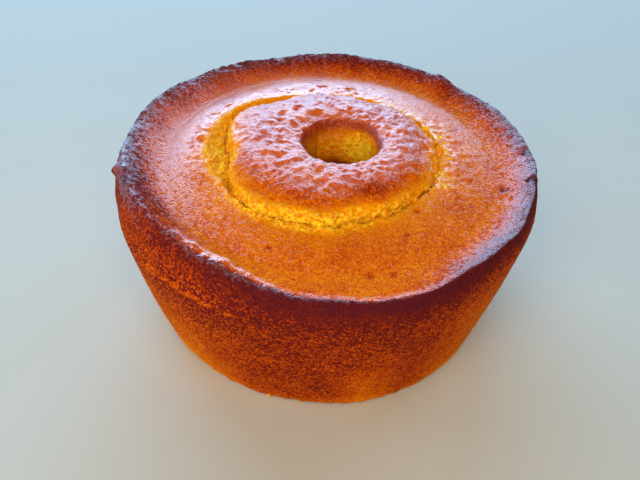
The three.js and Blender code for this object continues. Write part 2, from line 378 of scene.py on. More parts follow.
# Crust: cornmeal grit, blotches from the oven and pores of the crumb, in millimetres
GRIT_SIZE = 0.85
BLOTCH_SIZE = 13.0
PORE_SIZE = 1.7
# How much a grain's edge adds to its own tone, the mean of both, and how far blotches brown
GRIT_EDGE = 1.2
GRIT_MEAN = 1.1
BLOTCH_MEAN = 0.5
BLOTCH_DEPTH = 0.35
# How far grit shows: weak on pale crust, dark rim and tight skin, strong on gritty crust.
# Each row is what it follows, between which two values, and its share at both.
GRIT_SHOWS = (
    ("bake", 0.25, 0.65, 0.17, 0.32), ("bake", 0.68, 0.95, 1.0, 0.6),
    ("sandy", 0.2, 0.9, 0.5, 1.0), ("sandy", 1.15, 1.6, 1.0, 1.6),
)
# Colours of the crust, and how far baked each is
CRUST_TONES = (("golden", 0.0), ("orange", 0.26), ("russet", 0.5), ("brown", 0.76), ("dark", 1.0))
# Crumb is lighter where it is barer and further from a pore, with painted shade in the pores; its border is
# frayed by the grit
PORE_SHADE = 1.9
CRUMB_DEPTH = 1.4
CRUMB_FRAY = 0.6
CRUMB_BORDER = (0.25, 0.85)
# Roughness and strength of the grain, on tight skin and on sandy crust, and the grain's height
CRUST_ROUGHNESS = (0.2, 0.85)
CRUST_GRAIN = (0.35, 0.95)
CRUST_GRAIN_HEIGHT = 0.5
CRUST_IOR = 1.5

# Loose crumbs: start of the draw, shares in the split and at the foot, ranges of size and flatness
CRUMB_DRAW = 11
CRUMB_SHARES = (0.9, 0.1)
CRUMB_SIZES = (0.4, 1.5)
CRUMB_FLATNESS = (0.6, 1.2)
# Depth and closeness of a crumb's lumps, and how far along the noise they are taken
CRUMB_LUMP_DEPTH = 0.6
CRUMB_LUMP_SCALE = 1.3
CRUMB_LUMP_SHIFT = 50
# Crumbs of the split lie on crumb this bare, outside this share of its radius, and raised by this share
CRUMB_ON_BARE = 0.8
CRUMB_FROM = 0.5
CRUMB_RAISED = 0.4
# Crumbs at the foot lie away from the wall by a share of their size
CRUMB_AWAY = (0.2, 1.2)
# Their specks in millimetres, the height of these, and where the two colours lie
CRUMB_SPECK_SIZE = 2.0
CRUMB_SPECK_HEIGHT = 0.3
CRUMB_TONES = (("crumb_deep_and_pore_shade", 0.45), ("crumb_light", 0.85))

# Floor: its breadth in metres, cloudiness in millimetres, and how dark a cloud is
FLOOR_BREADTH = 30.0
FLOOR_CLOUD_SIZE = 120.0
FLOOR_CLOUD_SHADE = 0.97
# Soft light: name, place, width and height in metres, power in watts and colour
LIGHTS = (
    ("back", (-0.65, 2.6, 1.09), (3.6, 1.46), 258.0, "9ccfff"),
    ("back_right", (2.1, 2.2, 1.05), (1.8, 1.3), 62.0, "bfdcff"),
    ("side", (-2.2, 0.35, 0.6), (0.9, 0.4), 21.0, "cfe0ff"),
    ("key", (-0.05, -0.36, 0.5), (0.5, 0.4), 2.5, "fff2de"),
    ("fill", (-0.3, -1.5, 0.5), (2.6, 1.2), 20.0, "fff4e6"),
)
LIGHTS_AIM = (0, 0, 0.06)
AIR_COLOUR = "dfe8f0"
AIR_STRENGTH = 0.12
# Camera: place in millimetres, look-down and roll in degrees, lens in millimetres, nearest sight in metres
CAMERA_PLACE = (-2.9, -243.9, 244.8)
CAMERA_DOWN = 42.06
CAMERA_ROLL = 1.5
CAMERA_LENS = 36.56
CAMERA_SENSOR = 36.0
CAMERA_NEAR = 0.01


def linear(code):
    """Linear colour with full alpha from an sRGB hex code."""
    shares = [int(code[i:i + 2], 16) / 255 for i in (0, 2, 4)]
    return tuple(s / 12.92 if s <= 0.04045 else ((s + 0.055) / 1.055) ** 2.4 for s in shares) + (1.0,)


def length(name, description, default):
    """A length that a user can change."""
    return FloatProperty(name=name, description=description, default=default, unit="LENGTH")


def colour(name, description, code):
    """A colour that a user can change, from its sRGB hex code."""
    return FloatVectorProperty(
        name=name, description=description, default=linear(code), subtype="COLOR", size=4)


class RingCakeSizes(bpy.types.PropertyGroup):
    """Sizes of the cake that a user would change"""

    base_radius: length("Base radius", "Radius of the flat base", 80.5 * MM)
    shoulder_radius: length("Shoulder radius", "Widest radius, just under the rim", CAKE_HIGH.y)
    shoulder_height: length("Shoulder height", "Height of the widest place", 69 * MM)
    rim_radius: length("Rim radius", "Radius of the rim's crest", 90.8 * MM)
    rim_height: length("Rim height", "Mean height of the rim's crest", 81.2 * MM)
    top_height: length("Top height", "Height of the top inside the rim", 74.4 * MM)
    split_radius: length("Split radius", "Mean radius of the split's outer lip", 51.5 * MM)
    split_depth: length("Split depth", "Depth of the split below the top", 5.5 * MM)
    middle_height: length("Middle height", "Height of the risen middle", CAKE_HIGH.z - 0.9 * MM)
    neck_radius: length("Neck radius", "Narrowest radius of the hole", 15.2 * MM)
    crumb_size: length("Crumb size", "Radius of a middling loose crumb", 0.55 * MM)
    crumb_count: IntProperty(
        name="Crumbs", description="Loose crumbs in the split and round the base", default=300, min=0)


class RingCakeColours(bpy.types.PropertyGroup):
    """Colours of the cake and its studio"""

    crumb_light: colour("Light crumb", "Torn crumb in the light", "fdd02a")
    # Deep crumb is painted shade in the pores of torn crumb, and a deeper tone of loose crumbs
    crumb_deep_and_pore_shade: colour("Deep crumb", "Torn crumb in its pores", "e18705")
    golden: colour("Golden crust", "Palest crust", "e8920a")
    orange: colour("Orange crust", "Crust of the flat top", "d36904")
    russet: colour("Russet crust", "Crust of the side wall", "b03e05")
    brown: colour("Brown crust", "Crust under the rim", "6c1b0d")
    dark: colour("Dark crust", "Darkest crust, on the rim", "50151d")
    floor: colour("Floor", "Plain pale floor", "b5b0a0")


# Values round the cake


def swell(centre, spread, steep=1.0):
    """1 at the centre angle, easing to 0 at the spread on both sides; a steep one has a flat top."""
    away = np.abs((ANGLES - centre + 180) % 360 - 180)
    share = np.where(away < spread, 0.5 + 0.5 * np.cos(np.pi * away / spread), 0.0)
    return np.minimum(1.0, steep * share)


def swelling(amount, *place):
    """A swell of the given amount."""
    return amount * swell(*place)


def swollen_at(level, places):
    """A level all round, with a swelling at each of the places."""
    for place in places:
        level = level + swelling(*place)
    return level


def eased(share):
    """Smooth step of a share between 0 and 1."""
    share = np.clip(share, 0.0, 1.0)
    return share * share * (3 - 2 * share)


def between(start, rise, end, fall):
    """1 between two angles, easing in after the start and out before the end, for every angle."""
    return eased((ANGLES - start) / rise) * eased((end - ANGLES) / fall)


def sine(degrees):
    """Sine of an angle in degrees."""
    return np.sin(np.radians(degrees))


def tilted(amount, highest):
    """Rise of a tilted ring: the amount at its highest angle, and as far down opposite."""
    return amount * sine(ANGLES - highest + 90)


def ragged(amount, start):
    """Uneven edge, up to the amount both ways, from a few waves round the cake."""
    return amount * sum(
        share * sine(count * ANGLES + turn * start) for count, turn, share in RAGGED_WAVES)


def torn(amount, radius, size, seed):
    """Fine torn edge, about the amount both ways, in steps of one size at that radius."""
    x = radius / size * np.cos(np.radians(ANGLES))
    y = radius / size * np.sin(np.radians(ANGLES))
    return amount * np.array([noise.fractal(Vector((a, b, seed)), *TORN_STEPS) for a, b in zip(x, y)])


def openness():
    """How far the split is torn open, between 0 and 1, for every angle."""
    return np.maximum(swell(*LEFT_TEAR), swell(*FRONT_TEAR))


# Shape of the section


def spot(radius, height, lean=0.0):
    """One place of the section at every angle: radius, height and share of the hole's lean."""
    level = np.zeros(AROUND)
    return np.stack([level + radius, level + height, level + lean], axis=1)


def landmarks(sizes):
    """Named places of the section, in millimetres, at every angle."""
    slump = swell(*SLUMP)
    crest_radius = (sizes.rim_radius / MM - swelling(*CREST_INSET)
                    + ragged(*RIM_RAGGED_OUT) + torn(*RIM_TORN_OUT))
    crest_height = (sizes.rim_height / MM + tilted(*RIM_TILT) + swelling(*RIM_CRAG) - swelling(*RIM_SAG)
                    - swelling(*CREST_DROP) + ragged(*RIM_RAGGED_UP) + torn(*RIM_TORN_UP))

    lip_radius = sizes.split_radius / MM + ragged(*LIP_JAGGED) + swelling(*SPLIT_BULGE)
    split_radius = lip_radius - SPLIT_PINCH * between(*SPLIT_PINCH_SOFT)
    lip_radius -= SPLIT_PINCH * between(*SPLIT_PINCH_SHARP)
    cracked = swelling(*BACK_CRACK) + swelling(*RIGHT_CRACK)
    gap = (SPLIT_GAP + swelling(*SPLIT_WIDE) + swelling(*SPLIT_OPEN) + cracked
           + swelling(*SPLIT_RUBBLE) + torn(*SPLIT_GAP_TORN))
    gap = np.maximum(gap, SPLIT_GAP_LEAST)
    edge_radius = split_radius - gap + ragged(*EDGE_JAGGED) + swelling(*EDGE_FRAYED) * torn(*EDGE_FRAYS)
    lip_radius += torn(*LIP_TORN) + swelling(*LIP_FRAYED) * torn(*LIP_FRAYS)
    lip_radius = np.maximum(lip_radius, edge_radius + LIP_CLEAR)
    lip_height = SPLIT_HEIGHT + CRACK_LIP_RISE * cracked
    edge_height = MIDDLE_EDGE_HEIGHT + tilted(*MIDDLE_EDGE_TILT) - cracked - swelling(*EDGE_LOW)
    floor_height = (SPLIT_HEIGHT - sizes.split_depth / MM + swelling(*SPLIT_SHALLOW)
                    + torn(*SPLIT_FLOOR_TORN))
    ledge_height = SPLIT_HEIGHT - SPLIT_LEDGE_DEPTH + torn(*SPLIT_LEDGE_TORN)

    uneven = ragged(*HOLE_UNEVEN)
    bulge = swelling(*WALL_BULGE)
    base_radius = sizes.base_radius / MM + bulge + ragged(*BASE_RAGGED) + torn(*BASE_TORN)
    shoulder_radius = sizes.shoulder_radius / MM + bulge + swelling(*FLAKE)
    shoulder_height = sizes.shoulder_height / MM - SLUMP_DROP * slump
    lean = (sizes.shoulder_radius - sizes.base_radius) / sizes.shoulder_height
    neck = sizes.neck_radius / MM + uneven
    return {
        "underside": spot(base_radius - BASE_EDGE, 0),
        "base_corner": spot(base_radius, 0),
        "wall_foot": spot(base_radius + lean * BASE_EDGE, BASE_EDGE),
        "shoulder": spot(shoulder_radius, shoulder_height),
        "crest": spot(crest_radius, crest_height),
        "rim_foot": spot(RIM_FOOT_RADIUS - SLUMP_FOOT_INSET * slump, sizes.top_height / MM),
        "split_lip": spot(lip_radius, lip_height),
        "floor_out": spot(split_radius - SPLIT_LEDGE_SHARE * gap, ledge_height),
        "floor_in": spot(split_radius - SPLIT_FLOOR_SHARE * gap, floor_height),
        "middle_edge": spot(edge_radius, edge_height),
        "hole_lip": spot(HOLE_LIP_RADIUS + uneven, HOLE_LIP_HEIGHT, 1.0),
        "hole_neck": spot(neck, HOLE_LIP_HEIGHT - HOLE_NECK_DROP, 1.0),
        "hole_waist": spot(neck, 0.5 * HOLE_LIP_HEIGHT, 0.5),
        "hole_foot": spot(HOLE_BASE_RADIUS, 0),
    }


def stretches(sizes):
    """Control places of each stretch of the section, in order from the hole's foot round the outside."""
    at = landmarks(sizes)
    half_way = 0.5 * (at["wall_foot"] + at["shoulder"])
    corner = at["crest"] + RIM_FULLNESS * (at["shoulder"] - at["crest"])
    corner[:, 1] = at["crest"][:, 1]
    swollen = 0.5 * (at["rim_foot"] + at["split_lip"])
    swollen[:, 1] = SPLIT_HEIGHT
    middle_height = sizes.middle_height / MM
    rise = at["middle_edge"] - spot(MIDDLE_EDGE_ROUND, 0)
    rise[:, 1] = middle_height - MIDDLE_RISE_DROP
    flank = at["middle_edge"] + FLANK_ROUND * (at["middle_edge"] - rise)
    crown = spot(HOLE_LIP_RADIUS + MIDDLE_CROWN_WIDTH, middle_height + MIDDLE_CROWN_RISE, MIDDLE_CROWN_LEAN)
    return {
        "underside": [at["hole_foot"], at["underside"]],
        "edge": [at["underside"], at["base_corner"], at["wall_foot"]],
        "wall": [at["wall_foot"], half_way + spot(WALL_BOW, 0), at["shoulder"]],
        "rim_out": [at["shoulder"], corner, at["crest"]],
        "rim_in": [at["crest"], at["crest"] - spot(RIM_CREST_WIDTH + swelling(*CREST_WIDE), 0),
                   at["rim_foot"] + spot(RIM_FOOT_SWEEP, 0), at["rim_foot"]],
        "top": [at["rim_foot"], swollen, at["split_lip"]],
        "split_side": [at["split_lip"], at["floor_out"]],
        "split_floor": [at["floor_out"], at["floor_in"]],
        "cliff": [at["floor_in"], flank, at["middle_edge"]],
        "middle": [at["middle_edge"], rise, crown, at["hole_lip"]],
        "hole": [at["hole_lip"], at["hole_neck"], at["hole_waist"], at["hole_foot"]],
    }


def skin_rings(sizes):
    """Every ring of the skin: its stretch, its share along that stretch, and its places in metres."""
    rings = []
    turn = np.radians(ANGLES)
    opened = LIP_CURL_CLOSED + (1 - LIP_CURL_CLOSED) * openness()
    curl = LIP_CURL * (LIP_CURL_MEAN + torn(*LIP_CURL_TORN)) * opened
    for name, controls in stretches(sizes).items():
        for step in range(1, RINGS[name] + 1):
            share = (step / RINGS[name]) ** (HOLE_CROWDING if name == "hole" else 1.0)
            row = list(controls)
            while len(row) > 1:
                row = [a + (b - a) * share for a, b in zip(row, row[1:])]
            radius, height, lean = row[0].T
            places = np.stack([radius * np.cos(turn) + lean * HOLE_LEAN[0],
                               radius * np.sin(turn) + lean * HOLE_LEAN[1], height], axis=1)
            if name == "top":
                places[:, 2] += max(0.0, (share - LIP_START) / (1 - LIP_START)) * curl
            rings.append((name, share, places * MM))
    return rings


def nearness(skin, angle, radius, height, reach):
    """1 at one place, easing to 0 at the reach in millimetres, for every point of the skin."""
    place = np.array([radius * sine(angle + 90), radius * sine(angle), height]) * MM
    return eased(1 - np.linalg.norm(skin - place, axis=1) / (reach * MM))


def dented(skin, angle, radius, height, reach, depth):
    """The skin pressed in round one place: downwards on the top, and inwards too on the rim."""
    push = np.array([0.0, 0.0, -1.0])
    if radius > RIM_EDGE_RADIUS:
        push = np.array([-sine(angle + 90), -sine(angle), -RIM_DENT_DROP])
    return skin + nearness(skin, angle, radius, height, reach)[:, None] * push * depth * MM


def seam_strength(skin):
    """How strongly each place of the skin belongs to the seam on the left, between 0 and 1."""
    angle = np.degrees(np.arctan2(skin[:, 1], skin[:, 0])) % 360
    arch = np.sin(np.pi * np.clip((angle - SEAM[0]) / (SEAM[1] - SEAM[0]), 0, 1))
    height = SEAM_HEIGHT + SEAM_ARCH * arch + SEAM_WAVER * np.sin(angle * SEAM_WAVES)
    off = np.abs(skin[:, 2] / MM - height) / SEAM_WIDTH
    outside = np.hypot(skin[:, 0], skin[:, 1]) > SEAM_INNER_RADIUS * MM
    return eased(1 - off) * np.clip(SEAM_FADE * arch, 0, 1) * outside


def pressed(skin):
    """The skin with its dents, slit, flake, crags and seam, and how strong the seam is at every point."""
    for dent in (*DENTS, *SLIT, FLAKE_TIP, *CREST_LUMPS):
        skin = dented(skin, *dent)
    seam = seam_strength(skin)
    skin[:, :2] *= 1 + (SEAM_RISE * MM * seam / np.hypot(skin[:, 0], skin[:, 1]))[:, None]
    return skin, seam


# Browning, painted light and shade, and relief


def along(strengths, rings):
    """One value for every ring and section of the skin, from the values along each stretch."""
    values = []
    for name, share, places in rings:
        steps = strengths.get(name, (0.0,))
        values.append(np.full(len(places), np.interp(share, np.linspace(0, 1, len(steps)), steps)))
    return np.array(values)


def easing_in(stretch, start, end, rings):
    """Share between 0 and 1 that eases in along one stretch and is 0 on the others, for every ring."""
    return np.array([
        [eased((share - start) / (end - start)) * (name == stretch)] for name, share, _ in rings])


def changed(values, changes, rings):
    """The values with each change added, at its strength along the stretches and round its place."""
    for strengths, place in changes:
        values = values + along(strengths, rings) * swelling(*place)
    return values


def browning(rings):
    """Bake with its painted light and shade, bare crumb and sandiness of every ring and section."""
    bake, bare, sandy = (along(strengths, rings) for strengths in (BAKE, CRUMB, SANDY))
    front = swell(*FRONT_RIM)
    rim = (easing_in(*FRONT_RIM_INSIDE, rings)
           + FRONT_RIM_SHARE * easing_in(*FRONT_RIM_OUTSIDE, rings))
    bake += rim * front * (FRONT_RIM_BAKE - bake)
    bake = changed(bake, BAKE_AND_PAINTED_LIGHT_CHANGES, rings)
    bake -= along(WALL_SIDE, rings) * RIGHT_PALE * between(*RIGHT_PALE_REACH)

    sandy = changed(sandy, TOP_DULL_CHANGES, rings)
    sandy += easing_in(*FRONT_RIM_SANDY, rings) * front * (1 - sandy)
    sandy = changed(sandy, DULL_CHANGES, rings)

    torn_open = np.maximum(openness(), CLOSED_TEAR)
    bare *= 1 + along(TORN_STRETCHES, rings) * (
        torn_open - 1 + swelling(*FRONT_LIGHT) - swelling(*LEFT_DEEP))
    bare *= 1 - along({"top": (1.0,)}, rings) * swelling(*CRUSTED_LIP)
    bare += along(HOLE_CRUMB, rings) * swelling(*HOLE_LIGHT)
    return bake, bare, sandy


def crumb_patches(rings, skin, at):
    """Change of the bare crumb in patches on the right of the split, for every point of the skin."""
    strength = (along(PATCHY_STRETCHES, rings) * swelling(*PATCHY_CRUMB))[at]
    patches = np.zeros(len(skin))
    for k in np.flatnonzero(strength > 0):
        patches[k] = strength[k] * noise.noise(Vector(skin[k]) * per_metre(PATCHY_CRUMB_SIZE))
    return patches


def skin_values(rings, skin, seam, at):
    """Bake with its painted light and shade, bare crumb and sandiness of every point of the skin, by the
    names that the crust reads.
    """
    bake, bare, sandy = (values[at] for values in browning(rings))
    patch = np.hypot(skin[:, 0] / MM - PATCH_PLACE[0], skin[:, 1] / MM - PATCH_PLACE[1]) / PATCH_REACH
    patch = eased(1 - patch) * (skin[:, 2] > MIDDLE_EDGE_HEIGHT * MM)
    bake += PATCH_BROWN * patch
    sandy += PATCH_DULL * patch
    # Painted shade in the dents and the slit
    for angle, radius, height, reach, _ in (*DENTS, *SLIT):
        bake += DENT_SHADE * nearness(skin, angle, radius, height, DENT_SHADE_REACH * reach)
    bake -= SEAM_PALE * seam + FLAKE_TIP_PALE * nearness(skin, *FLAKE_TIP[:4])
    patches = crumb_patches(rings, skin, at)
    bare += patches
    sandy += PATCHY_SHINE * np.minimum(patches, 0.0)
    return {"bake": bake, "bare": bare, "sandy": sandy}


def relief_groups(rings):
    """How strongly each kind of relief takes hold at every ring and section."""
    wrinkled = np.max([swell(*place, WRINKLED_STEEP) for place in WRINKLED], axis=0)
    pebbles = along(PEBBLES, rings) + along(RIGHT_WRINKLES, rings) * swell(*RIGHT_WRINKLED)
    lumps = (along(LUMPS, rings) * swollen_at(LUMPY, LUMPY_PLACES)
             + along(RIGHT_LUMPS, rings) * swell(*RIGHT_LUMPY))
    return {
        "grain": along(GRAIN, rings),
        "crags": along(CRAGS, rings) * swollen_at(CRAGGY, CRAGGY_PLACES),
        "fine": along(FINE, rings),
        "pebbles": np.minimum(1.0, pebbles),
        "lumps": np.minimum(1.0, lumps),
        "wrinkles": along(WRINKLES, rings) * wrinkled,
    }


# Work on a piece


def points_of(piece):
    """Places of all points of a piece, one in a row."""
    flat = np.empty(len(piece.data.vertices) * 3)
    piece.data.vertices.foreach_get("co", flat)
    return flat.reshape(-1, 3)


def put_points(piece, places):
    """Moves all points of a piece to new places."""
    piece.data.vertices.foreach_set("co", places.ravel())
    piece.data.update()


def give(piece, name, values):
    """Stores one number for each point of a piece under a name that its finish reads."""
    layer = piece.data.attributes.new(name, "FLOAT", "POINT")
    layer.data.foreach_set("value", np.asarray(values, np.float32))


def plain_ring(name, sizes, rings):
    """A plain ring with as many sections and rings as the skin, and the ring and section of each point."""
    ring_radius = 0.5 * (sizes.shoulder_radius + sizes.neck_radius)
    bpy.ops.object.select_all(action="DESELECT")
    bpy.ops.mesh.primitive_torus_add(
        major_segments=COARSE_AROUND, minor_segments=len(rings) // (CUTS + 1),
        major_radius=ring_radius, minor_radius=ring_radius - sizes.neck_radius)
    piece = bpy.context.object
    piece.name = piece.data.name = name
    bpy.ops.object.mode_set(mode="EDIT")
    bpy.ops.mesh.select_all(action="SELECT")
    bpy.ops.mesh.subdivide(number_cuts=CUTS)
    bpy.ops.object.mode_set(mode="OBJECT")

    # Every point of the plain ring knows its section and its ring by its two angles
    x, y, z = points_of(piece).T
    across = np.arctan2(z, np.hypot(x, y) - ring_radius)
    section = np.rint(np.arctan2(y, x) / math.tau * AROUND).astype(int) % AROUND
    ring = np.rint(across / math.tau * len(rings)).astype(int) % len(rings)
    return piece, (ring, section)


def weigh(piece, group, values):
    """Puts the points of a piece in a group, with their weights rounded to tenths."""
    members = piece.vertex_groups.new(name=group)
    tenths = np.rint(values * 10).astype(int)
    for weight in range(1, 11):
        members.add(np.flatnonzero(tenths == weight).tolist(), weight / 10, "REPLACE")


def roughen(piece, group, size, depth, octaves, kind, basis):
    """Pushes the points of a group in and out by a cloud pattern of the given size."""
    name = f"{group}_{size:.1f}"
    pattern = bpy.data.textures.new(name, "CLOUDS")
    pattern.noise_scale = size * MM
    pattern.noise_depth = octaves
    pattern.noise_type = kind
    pattern.noise_basis = basis
    push = piece.modifiers.new(name, "DISPLACE")
    push.texture = pattern
    push.texture_coords = "LOCAL"
    push.vertex_group = group
    push.strength = depth * MM
    push.mid_level = 0.5
    bpy.ops.object.modifier_apply(modifier=name)


def dull_faces(piece, rings, skin, at, dullness):
    """Which faces take the finish without gloss: sandy or torn ones, with a frayed border."""
    corner_points = np.empty(len(piece.data.loops), np.int32)
    piece.data.loops.foreach_get("vertex_index", corner_points)
    faces = corner_points.reshape(-1, 4)
    middles = skin[faces].mean(axis=1) * per_metre(FRAY_SIZE)
    narrow = (along(EVEN_FRAY_RIM, rings) * swell(*EVEN_FRAY))[at]
    breadth = FRAY_BREADTH * (1 - narrow[faces].mean(axis=1))
    frayed = breadth * np.array([noise.noise(Vector(place)) for place in middles])
    return dullness[faces].mean(axis=1) + frayed > DULL_FROM


# Finishes


def add(tree, kind, inputs=None, **settings):
    """Adds a node with its settings; an input is a value or another node's socket."""
    node = tree.nodes.new(kind)
    for name, value in settings.items():
        setattr(node, name, value)
    for name, value in (inputs or {}).items():
        if isinstance(value, bpy.types.NodeSocket):
            tree.links.new(value, node.inputs[name])
        else:
            node.inputs[name].default_value = value
    return node


def new_finish(name):
    """A finish with an empty tree and its output node."""
    finish = bpy.data.materials.new(name)
    finish.use_nodes = True
    finish.node_tree.nodes.clear()
    return finish, finish.node_tree, finish.node_tree.nodes.new("ShaderNodeOutputMaterial")


def per_metre(size):
    """Pattern scale that makes features of the given size in millimetres."""
    return 1.0 / (size * MM)


def set_tones(ramp, tones, colours):
    """Sets the stops of a colour ramp: each is the name of a colour and its place."""
    while len(ramp.elements) < len(tones):
        ramp.elements.new(0.5)
    for element, (name, position) in zip(ramp.elements, tones):
        element.position = position
        element.color = getattr(colours, name)


def baked_crust(name, gloss, colours):
    """Baked cornmeal crust: sandy and matt on the wall, tight and shiny on top, torn crumb in the split."""
    finish, tree, out = new_finish(name)
    place = add(tree, "ShaderNodeTexCoord").outputs["Object"]
    point = {
        value: add(tree, "ShaderNodeAttribute", attribute_name=value).outputs["Fac"]
        for value in ("bake", "bare", "sandy")}

    # Cornmeal grit shows as specks about a millimetre wide, and the oven leaves wider blotches
    grains = add(tree, "ShaderNodeTexVoronoi", {"Vector": place, "Scale": per_metre(GRIT_SIZE)})
    tone = add(tree, "ShaderNodeSeparateColor", {"Color": grains.outputs["Color"]}).outputs["Red"]
    grit = add(tree, "ShaderNodeMath", {
        0: grains.outputs["Distance"], 1: GRIT_EDGE, 2: tone}, operation="MULTIPLY_ADD").outputs[0]
    blotch = add(tree, "ShaderNodeTexNoise", {
        "Vector": place, "Scale": per_metre(BLOTCH_SIZE), "Detail": 3.0, "Roughness": 0.6}).outputs["Fac"]
    pores = add(tree, "ShaderNodeTexVoronoi", {
        "Vector": place, "Scale": per_metre(PORE_SIZE)}, feature="SMOOTH_F1").outputs["Distance"]

    speck = add(tree, "ShaderNodeMath", {0: grit, 1: GRIT_MEAN}, operation="SUBTRACT").outputs[0]
    for value, low, high, at_low, at_high in GRIT_SHOWS:
        shown = add(tree, "ShaderNodeMapRange", {
            "Value": point[value], "From Min": low, "From Max": high, "To Min": at_low, "To Max": at_high})
        speck = add(tree, "ShaderNodeMath", {
            0: speck, 1: shown.outputs["Result"]}, operation="MULTIPLY").outputs[0]
    patchy = add(tree, "ShaderNodeMath", {0: blotch, 1: BLOTCH_MEAN}, operation="SUBTRACT").outputs[0]
    toast = add(tree, "ShaderNodeMath", {
        0: patchy, 1: BLOTCH_DEPTH, 2: point["bake"]}, operation="MULTIPLY_ADD").outputs[0]
    toast = add(tree, "ShaderNodeMath", {0: toast, 1: speck}, operation="ADD").outputs[0]
    ramp = add(tree, "ShaderNodeValToRGB", {"Fac": toast})
    set_tones(ramp.color_ramp, CRUST_TONES, colours)

    # Torn crumb is yellow with painted shade in its pores, and specks of crust cross its border
    light = add(tree, "ShaderNodeMath", {
        0: pores, 1: PORE_SHADE, 2: point["bare"]}, operation="MULTIPLY_ADD").outputs[0]
    light = add(tree, "ShaderNodeMath", {0: light, 1: CRUMB_DEPTH}, operation="SUBTRACT").outputs[0]
    torn_crumb = add(tree, "ShaderNodeMix", {
        0: light, 6: colours.crumb_deep_and_pore_shade, 7: colours.crumb_light}, data_type="RGBA").outputs[2]
    frayed = add(tree, "ShaderNodeMath", {
        0: speck, 1: CRUMB_FRAY, 2: point["bare"]}, operation="MULTIPLY_ADD").outputs[0]
    bare = add(tree, "ShaderNodeMapRange", {
        "Value": frayed, "From Min": CRUMB_BORDER[0], "From Max": CRUMB_BORDER[1]},
        interpolation_type="SMOOTHSTEP").outputs[0]
    skin = add(tree, "ShaderNodeMix", {
        0: bare, 6: ramp.outputs["Color"], 7: torn_crumb}, data_type="RGBA").outputs[2]

    matt = add(tree, "ShaderNodeMath", {0: point["sandy"], 1: bare}, operation="MAXIMUM").outputs[0]
    rough = add(tree, "ShaderNodeMapRange", {
        "Value": matt, "To Min": CRUST_ROUGHNESS[0], "To Max": CRUST_ROUGHNESS[1]}).outputs["Result"]
    relief = add(tree, "ShaderNodeMath", {
        0: pores, 1: grains.outputs["Distance"]}, operation="SUBTRACT").outputs[0]
    grain = add(tree, "ShaderNodeMapRange", {
        "Value": matt, "To Min": CRUST_GRAIN[0], "To Max": CRUST_GRAIN[1]}).outputs["Result"]
    bump = add(tree, "ShaderNodeBump", {
        "Strength": grain, "Distance": CRUST_GRAIN_HEIGHT * MM, "Height": relief}).outputs["Normal"]
    surface = add(tree, "ShaderNodeBsdfPrincipled", {
        "Base Color": skin, "Roughness": rough, "Normal": bump, "IOR": CRUST_IOR,
        "Specular IOR Level": gloss})
    tree.links.new(surface.outputs["BSDF"], out.inputs["Surface"])
    return finish


def loose_crumb(colours):
    """Loose cornmeal crumbs: matt, golden to toasted, each speckled."""
    finish, tree, out = new_finish("loose_cornmeal_crumb")
    place = add(tree, "ShaderNodeTexCoord").outputs["Object"]
    speck = add(tree, "ShaderNodeTexNoise", {
        "Vector": place, "Scale": per_metre(CRUMB_SPECK_SIZE), "Detail": 2.0}).outputs["Fac"]
    ramp = add(tree, "ShaderNodeValToRGB", {"Fac": speck})
    set_tones(ramp.color_ramp, CRUMB_TONES, colours)
    bump = add(tree, "ShaderNodeBump", {
        "Strength": 0.5, "Distance": CRUMB_SPECK_HEIGHT * MM, "Height": speck}).outputs["Normal"]
    surface = add(tree, "ShaderNodeBsdfPrincipled", {
        "Base Color": ramp.outputs["Color"], "Roughness": 0.8, "Normal": bump, "IOR": 1.45})
    tree.links.new(surface.outputs["BSDF"], out.inputs["Surface"])
    return finish


def pale_floor(colours):
    """Plain satin board: even and pale, with a trace of cloudiness."""
    finish, tree, out = new_finish("pale_satin_board")
    place = add(tree, "ShaderNodeTexCoord").outputs["Object"]
    cloud = add(tree, "ShaderNodeTexNoise", {
        "Vector": place, "Scale": per_metre(FLOOR_CLOUD_SIZE), "Detail": 2.0}).outputs["Fac"]
    shaded = [FLOOR_CLOUD_SHADE * c for c in colours.floor[:3]] + [1.0]
    tone = add(tree, "ShaderNodeMix", {0: cloud, 6: colours.floor, 7: shaded}, data_type="RGBA").outputs[2]
    surface = add(tree, "ShaderNodeBsdfPrincipled", {
        "Base Color": tone, "Roughness": 0.8, "IOR": 1.45, "Specular IOR Level": 0.2})
    tree.links.new(surface.outputs["BSDF"], out.inputs["Surface"])
    return finish


# Operators


class RINGCAKE_OT_shape_cake(bpy.types.Operator):
    """Shapes the cake from a ring: section, torn split, pebbles, crags and browning"""

    bl_idname = "ring_cake.shape_cake"
    bl_label = "Shape the cake"

    def execute(self, context):
        sizes = context.scene.ring_cake_sizes
        colours = context.scene.ring_cake_colours
        rings = skin_rings(sizes)
        cake, at = plain_ring("ring_cake", sizes, rings)
        skin, seam = pressed(np.stack([places for _, _, places in rings])[at])
        put_points(cake, skin)
        bpy.ops.object.mode_set(mode="EDIT")
        bpy.ops.mesh.select_all(action="SELECT")
        bpy.ops.mesh.normals_make_consistent(inside=False)
        bpy.ops.object.mode_set(mode="OBJECT")
        bpy.ops.object.shade_smooth()

        for group, values in relief_groups(rings).items():
            weigh(cake, group, values[at])
        for relief in RELIEF:
            roughen(cake, *relief)
        put_points(cake, np.clip(points_of(cake), CAKE_LOW, CAKE_HIGH))

        looks = skin_values(rings, skin, seam, at)
        for name, values in looks.items():
            give(cake, name, values)
        cake.data.materials.clear()
        cake.data.materials.append(baked_crust("shiny_cornmeal_skin", SKIN_GLOSS, colours))
        cake.data.materials.append(baked_crust("sandy_cornmeal_crust", SANDY_GLOSS, colours))
        dull = dull_faces(cake, rings, skin, at, np.maximum(looks["sandy"], looks["bare"]))
        cake.data.polygons.foreach_set("material_index", dull.astype(np.int32))
        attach(cake, "root")
        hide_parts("cake")
        return {"FINISHED"}


